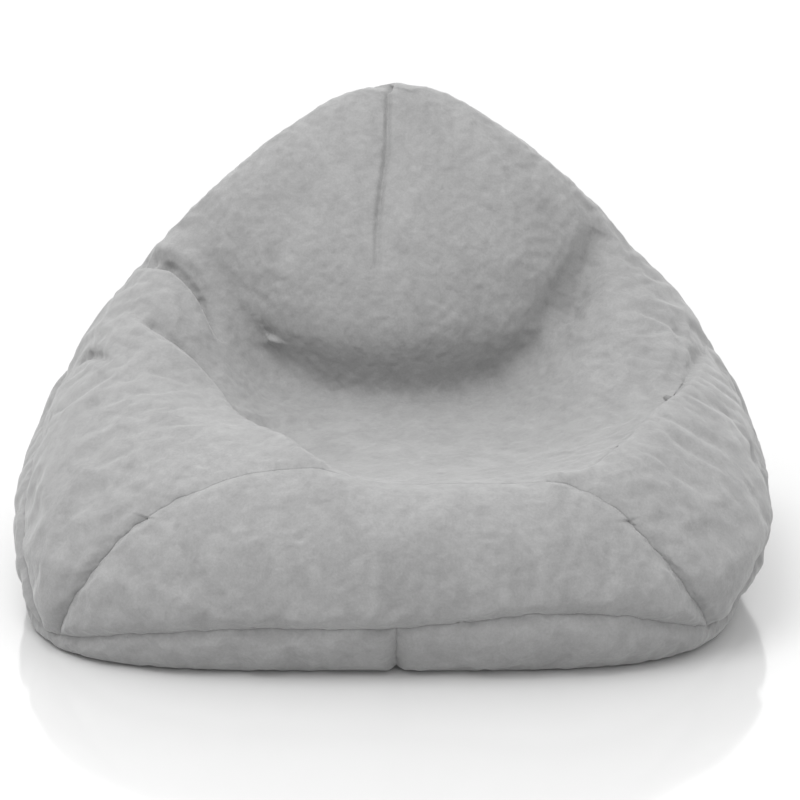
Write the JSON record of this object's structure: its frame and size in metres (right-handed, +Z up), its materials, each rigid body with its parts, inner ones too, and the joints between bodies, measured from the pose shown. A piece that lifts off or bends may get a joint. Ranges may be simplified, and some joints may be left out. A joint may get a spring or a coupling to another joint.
{
  "type": "bean bag chair",
  "caption": "Low bean bag chair with a pressed-in seat, a raised backrest, soft arms and a zipped plush cover over a zipped bead-filled liner.",
  "frame": {"origin": "on the floor under the middle of the chair's bounding box", "axes": "+X to the sitter's left (width), +Y to the rear, +Z up; the chair faces -Y"},
  "size_m": [1.099, 0.9525, 0.6769],
  "materials": {
    "cover_plush": "short soft pile, matt",
    "liner_fabric": "woven, matt",
    "beads": "matt foam beads",
    "zip_tape": "woven tape",
    "zip_coil": "nylon",
    "zip_metal": "satin enamel",
    "label_fabric": "satin ribbon"
  },
  "bodies": {
    "chair": {"cover_front_panel": "cover_plush", "cover_seat_and_back_panel": "cover_plush", "cover_rear_panel_left": "cover_plush", "cover_rear_panel_right": "cover_plush", "cover_base_panel_left": "cover_plush", "cover_base_panel_right": "cover_plush", "liner_upper": "liner_fabric", "liner_base_left": "liner_fabric", "liner_base_right": "liner_fabric", "bead_fill": "beads", "care_label": "label_fabric", "cover_zip_tape_left": "zip_tape", "cover_zip_coil_left": "zip_coil", "cover_zip_tape_right": "zip_tape", "cover_zip_coil_right": "zip_coil", "cover_zip_stops": "zip_metal", "liner_zip_tape_left": "zip_tape", "liner_zip_coil_left": "zip_coil", "liner_zip_tape_right": "zip_tape", "liner_zip_coil_right": "zip_coil", "liner_zip_stops": "zip_metal"},
    "cover_zip_slider": {"cover_zip_slider": "zip_metal"},
    "cover_zip_puller": {"cover_zip_puller": "zip_metal"},
    "liner_zip_slider": {"liner_zip_slider": "zip_metal"}
  },
  "joints": [
    {"name": "cover_zip_slide", "type": "slide", "parent": "chair", "child": "cover_zip_slider", "axis": [0, -1, 0], "range_m": [0, 0.545], "deforming": ["cover_zip_coil_left", "cover_zip_coil_right"]},
    {"name": "cover_zip_puller_swing", "type": "hinge", "parent": "cover_zip_slider", "child": "cover_zip_puller", "pos_m": [0, 0.278, 0.00565], "axis": [1, 0, 0], "range_deg": [0, 145]},
    {"name": "liner_zip_slide", "type": "slide", "parent": "chair", "child": "liner_zip_slider", "axis": [0, -1, 0], "range_m": [0, 0.345], "deforming": ["liner_zip_coil_left", "liner_zip_coil_right"]}
  ]
}
